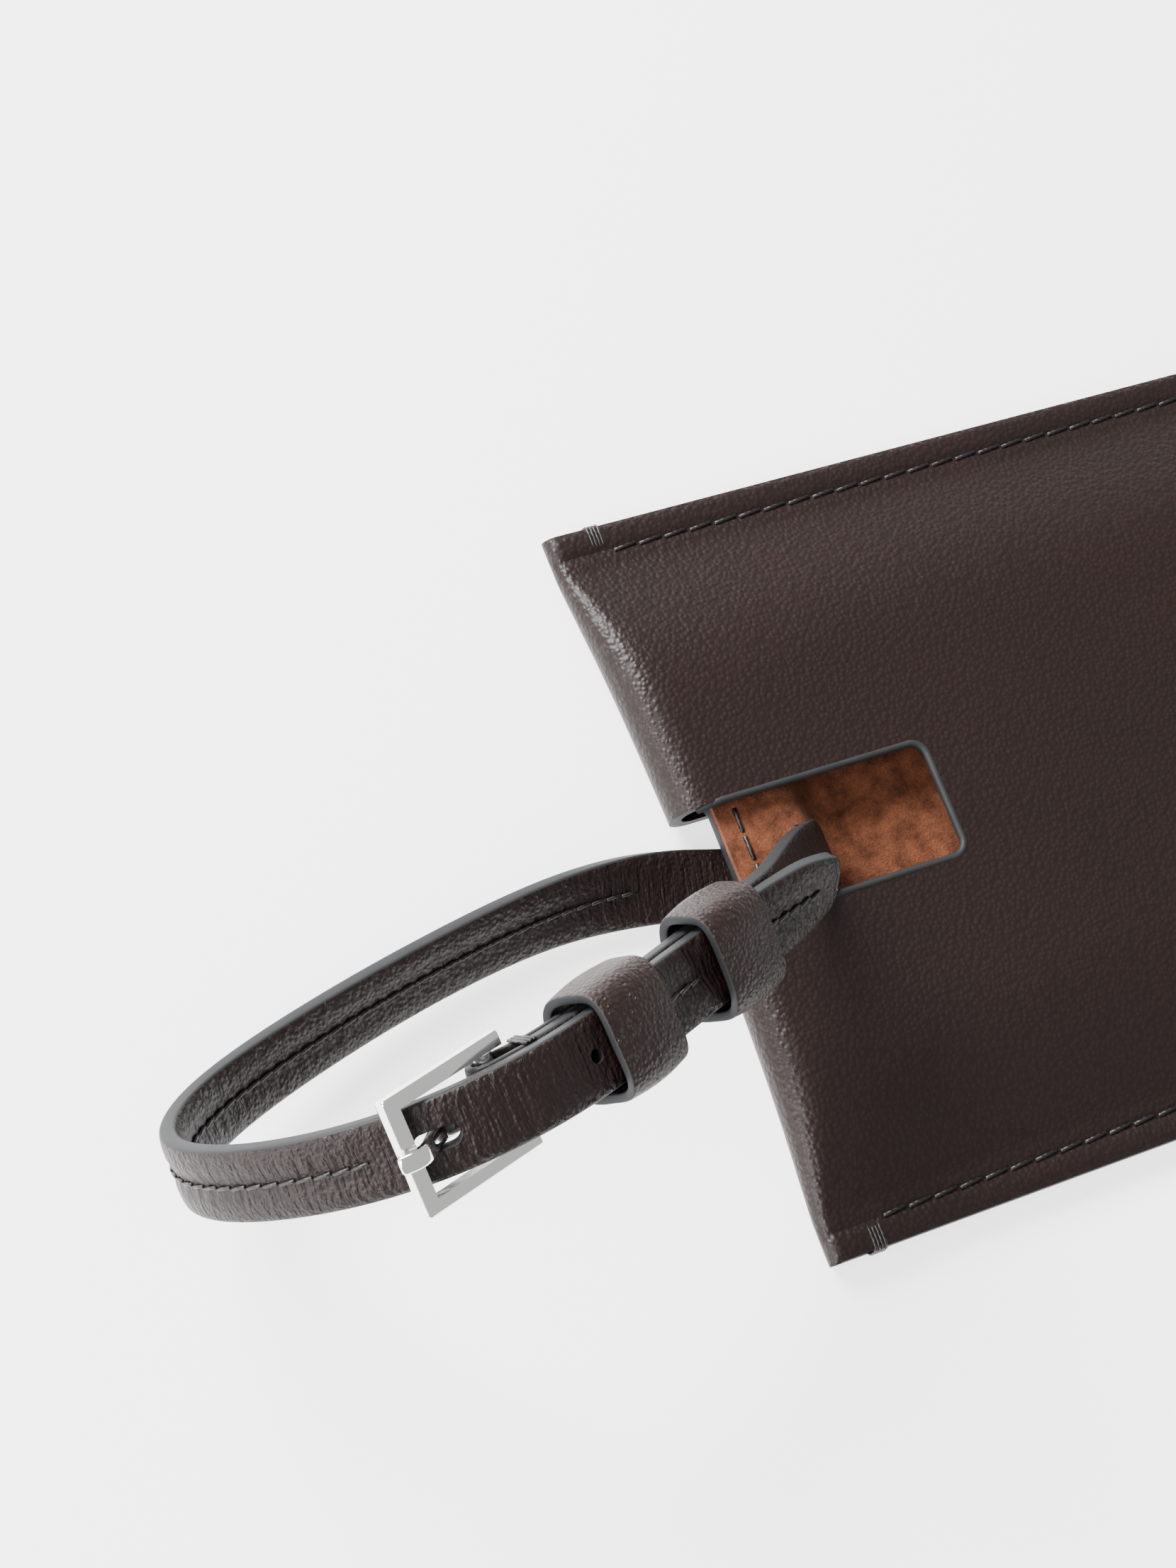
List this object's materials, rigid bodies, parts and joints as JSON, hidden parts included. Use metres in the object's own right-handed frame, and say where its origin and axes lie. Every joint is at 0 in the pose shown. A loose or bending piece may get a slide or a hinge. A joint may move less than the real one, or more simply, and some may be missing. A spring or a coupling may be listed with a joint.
{
  "type": "luggage tag",
  "caption": "Folded leather luggage tag with a suede-lined card pocket, a window at the fold and a buckled leather strap that loops round a bag handle.",
  "frame": {"origin": "middle of the cover's flat back face, on the surface that the tag lies on", "axes": "+X along the tag from the folded end to the open end, +Y across it, +Z out of the front panel, away from the surface; the strap loops out on the -X side"},
  "size_m": [0.1662, 0.0706, 0.0345],
  "materials": {
    "cover_leather": "fine-grain satin, very dark brown",
    "lining_suede": "suede nap, reddish tan",
    "card_stock": "plain matt off-white",
    "sewing_thread": "waxed, slight sheen",
    "strap_leather": "fine-grain satin, very dark brown, grey-painted edges",
    "keeper_leather": "fine-grain satin, very dark brown, grey-painted edges",
    "buckle_metal": "polished"
  },
  "bodies": {
    "tag": {"outer_cover": "cover_leather", "back_lining": "lining_suede", "bottom_seam_thread": "sewing_thread", "top_seam_thread": "sewing_thread", "corner_bartacks": "sewing_thread", "slot_stitch_thread": "sewing_thread"},
    "strap": {"strap_outer_ply": "strap_leather", "strap_inner_ply": "strap_leather", "strap_thread": "sewing_thread", "tip_thread": "sewing_thread", "chape_bartack_thread": "sewing_thread", "keeper_fixed": "keeper_leather"},
    "buckle": {"buckle_frame": "buckle_metal", "buckle_pivot_bar": "buckle_metal"},
    "tongue": {"buckle_tongue": "buckle_metal"},
    "loose_keeper": {"keeper_sliding": "keeper_leather"},
    "card": {"address_card": "card_stock"}
  },
  "joints": [
    {"name": "strap_swing", "type": "hinge", "parent": "tag", "child": "strap", "pos_m": [-0.04335, -0.001, 0.001], "axis": [0, 0, 1], "range_deg": [-6, 5]},
    {"name": "buckle_tilt", "type": "hinge", "parent": "strap", "child": "buckle", "pos_m": [-0.08758, -0.01647, 0.02959], "axis": [-0.1589, 0.9117, 0.3789], "range_deg": [0, 2]},
    {"name": "tongue_lift", "type": "hinge", "parent": "buckle", "child": "tongue", "pos_m": [-0.08758, -0.01647, 0.02959], "axis": [-0.1589, 0.9117, 0.3789], "range_deg": [0, 2]},
    {"name": "keeper_slide", "type": "slide", "parent": "strap", "child": "loose_keeper", "axis": [0.8868, 0.2959, -0.3549], "range_m": [-0.0052, 0.0003]},
    {"name": "card_slide", "type": "slide", "parent": "tag", "child": "card", "axis": [1, 0, 0], "range_m": [0, 0.075]}
  ]
}
